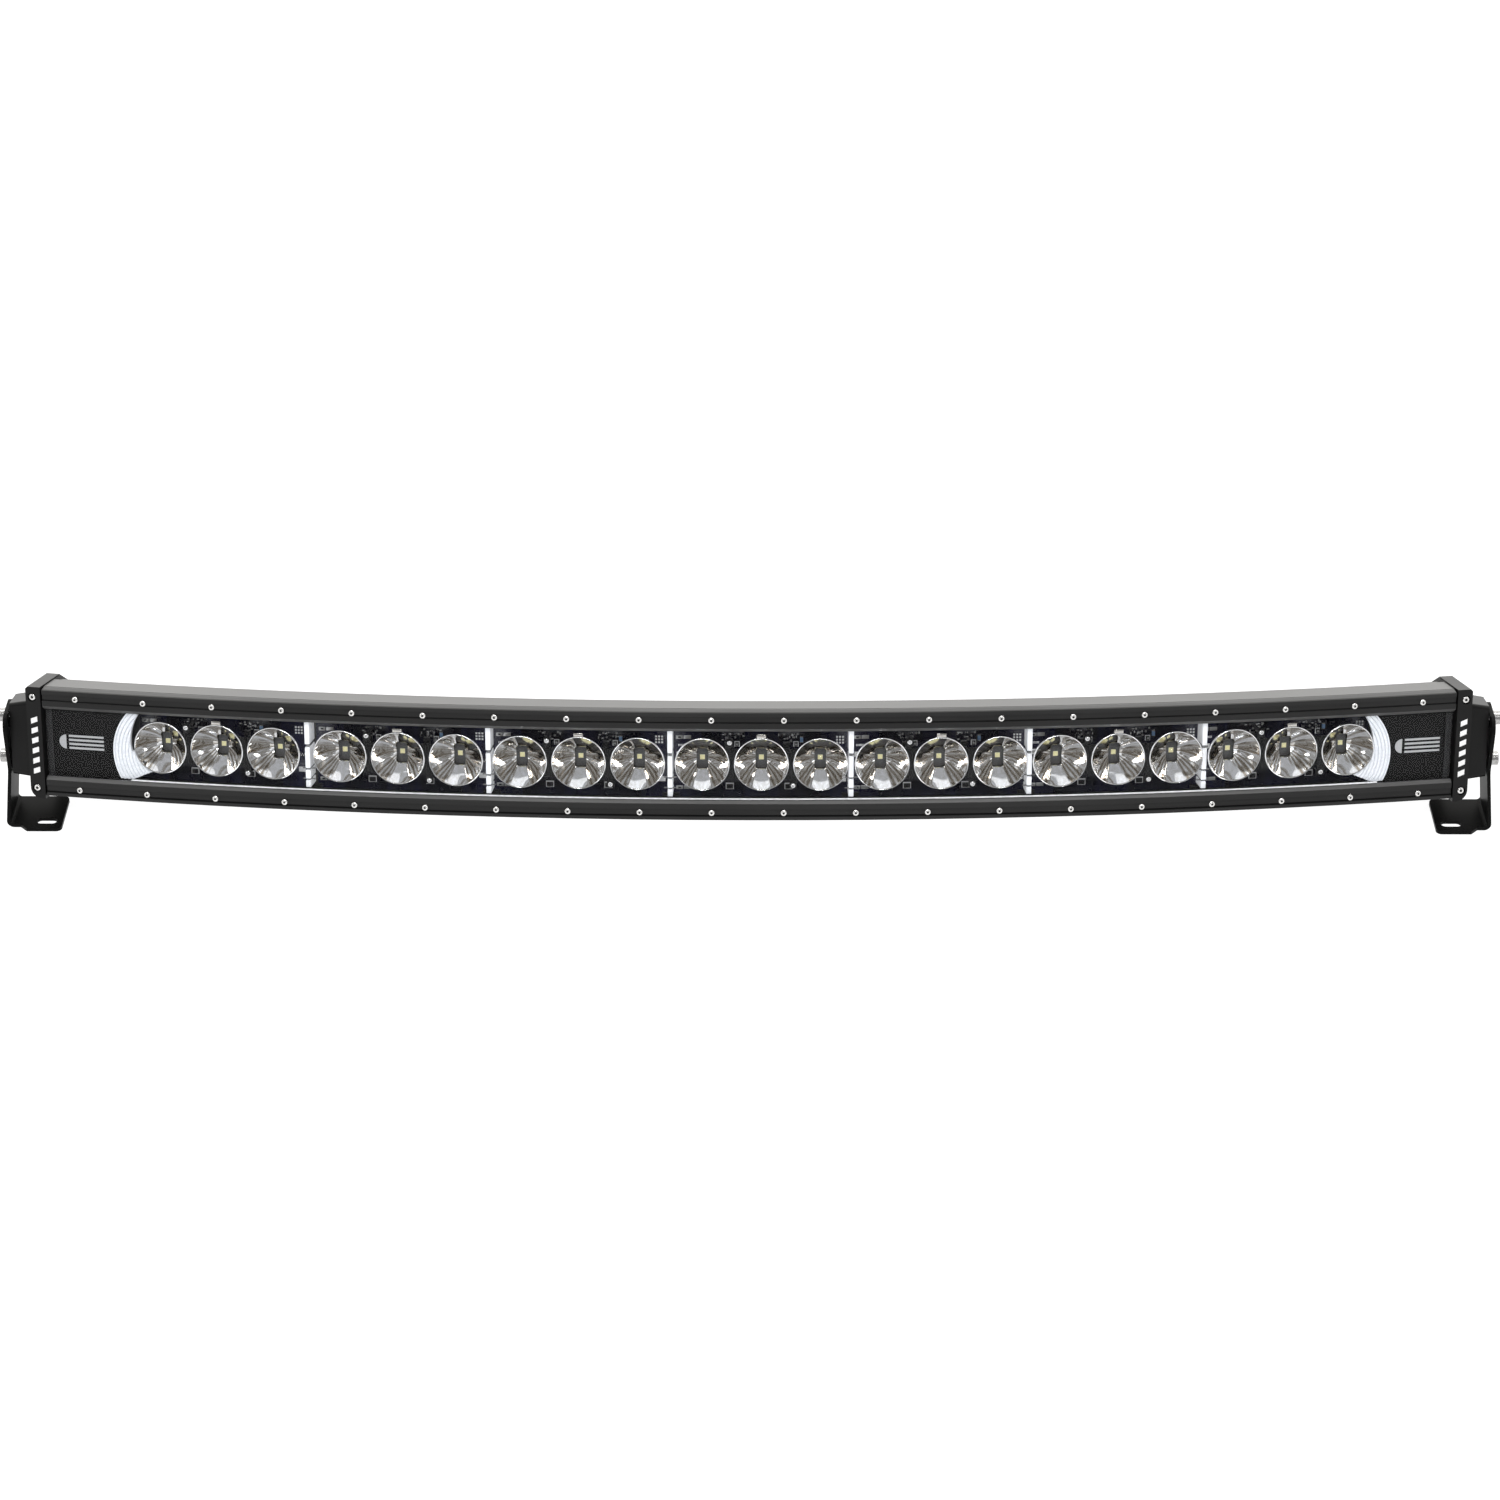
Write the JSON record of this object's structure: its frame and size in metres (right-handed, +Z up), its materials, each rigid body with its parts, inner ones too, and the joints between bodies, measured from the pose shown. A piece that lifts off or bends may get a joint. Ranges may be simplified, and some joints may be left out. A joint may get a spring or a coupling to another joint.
{
  "type": "curved led light bar",
  "caption": "Curved single-row LED light bar: finned housing, clear lens behind screwed rails, faceted reflector cups, cast ends and tilting foot brackets.",
  "frame": {"origin": "midway between the centres of the two foot slots, on the mounting plane under the feet", "axes": "+X along the bar towards the right-hand end as the lit face is seen, +Y away from the lit face towards the fins, +Z up from the mounting plane"},
  "size_m": [1.0644, 0.1277, 0.1101],
  "materials": {
    "housing_black": "satin black anodised extrusion",
    "rail_black": "satin black anodised extrusion",
    "end_casting": "satin black powder coat on die-cast aluminium",
    "bracket_black": "satin black powder coat on bent steel sheet",
    "stainless": "plain stainless steel",
    "lens_clear": "clear polycarbonate",
    "gasket_rubber": "black silicone",
    "board_black": "black solder mask on an aluminium-core board",
    "emitter": "phosphor under a clear dome",
    "reflector": "vacuum-metallised faceted moulding",
    "white_moulding": "white light guide",
    "mask_black": "black blanking panel",
    "components": "moulded electronic parts",
    "contact_plastic": "white plug links",
    "gland_black": "black nylon"
  },
  "bodies": {
    "brackets": {"bracket_left": "bracket_black", "bracket_right": "bracket_black"},
    "light_bar": {"housing": "housing_black", "upper_rail": "rail_black", "lower_rail": "rail_black", "upper_rail_screws": "stainless", "lower_rail_screws": "stainless", "lens": "lens_clear", "lens_gasket": "gasket_rubber", "led_board_1": "board_black", "led_board_2": "board_black", "led_board_3": "board_black", "led_board_4": "board_black", "led_board_5": "board_black", "led_board_6": "board_black", "led_board_7": "board_black", "led_emitters": "emitter", "driver_components": "components", "board_links": "contact_plastic", "module_pins": "stainless", "reflector_module_1": "reflector", "reflector_module_2": "reflector", "reflector_module_3": "reflector", "reflector_module_4": "reflector", "reflector_module_5": "reflector", "reflector_module_6": "reflector", "reflector_module_7": "reflector", "divider_bars": "white_moulding", "end_crescent_left": "white_moulding", "end_crescent_right": "white_moulding", "end_mask_left": "mask_black", "end_mask_right": "mask_black", "gland_body": "gland_black", "gland_nut": "gland_black", "gland_seal": "gasket_rubber", "breather_vent": "gland_black", "end_gasket_left": "gasket_rubber", "end_gasket_right": "gasket_rubber", "end_bezel_left": "end_casting", "end_bezel_right": "end_casting", "end_bezel_screws": "stainless", "end_cap_left": "end_casting", "end_cap_right": "end_casting", "end_cap_screws": "stainless", "pivot_bolts": "stainless", "adjusting_bolts": "stainless", "bolt_washers": "stainless", "spacer_washers": "stainless"}
  },
  "joints": [
    {"name": "tilt", "type": "hinge", "parent": "brackets", "child": "light_bar", "pos_m": [0, 0.0335, 0.0362], "axis": [-1, 0, 0], "range_deg": [-20, 10]}
  ]
}
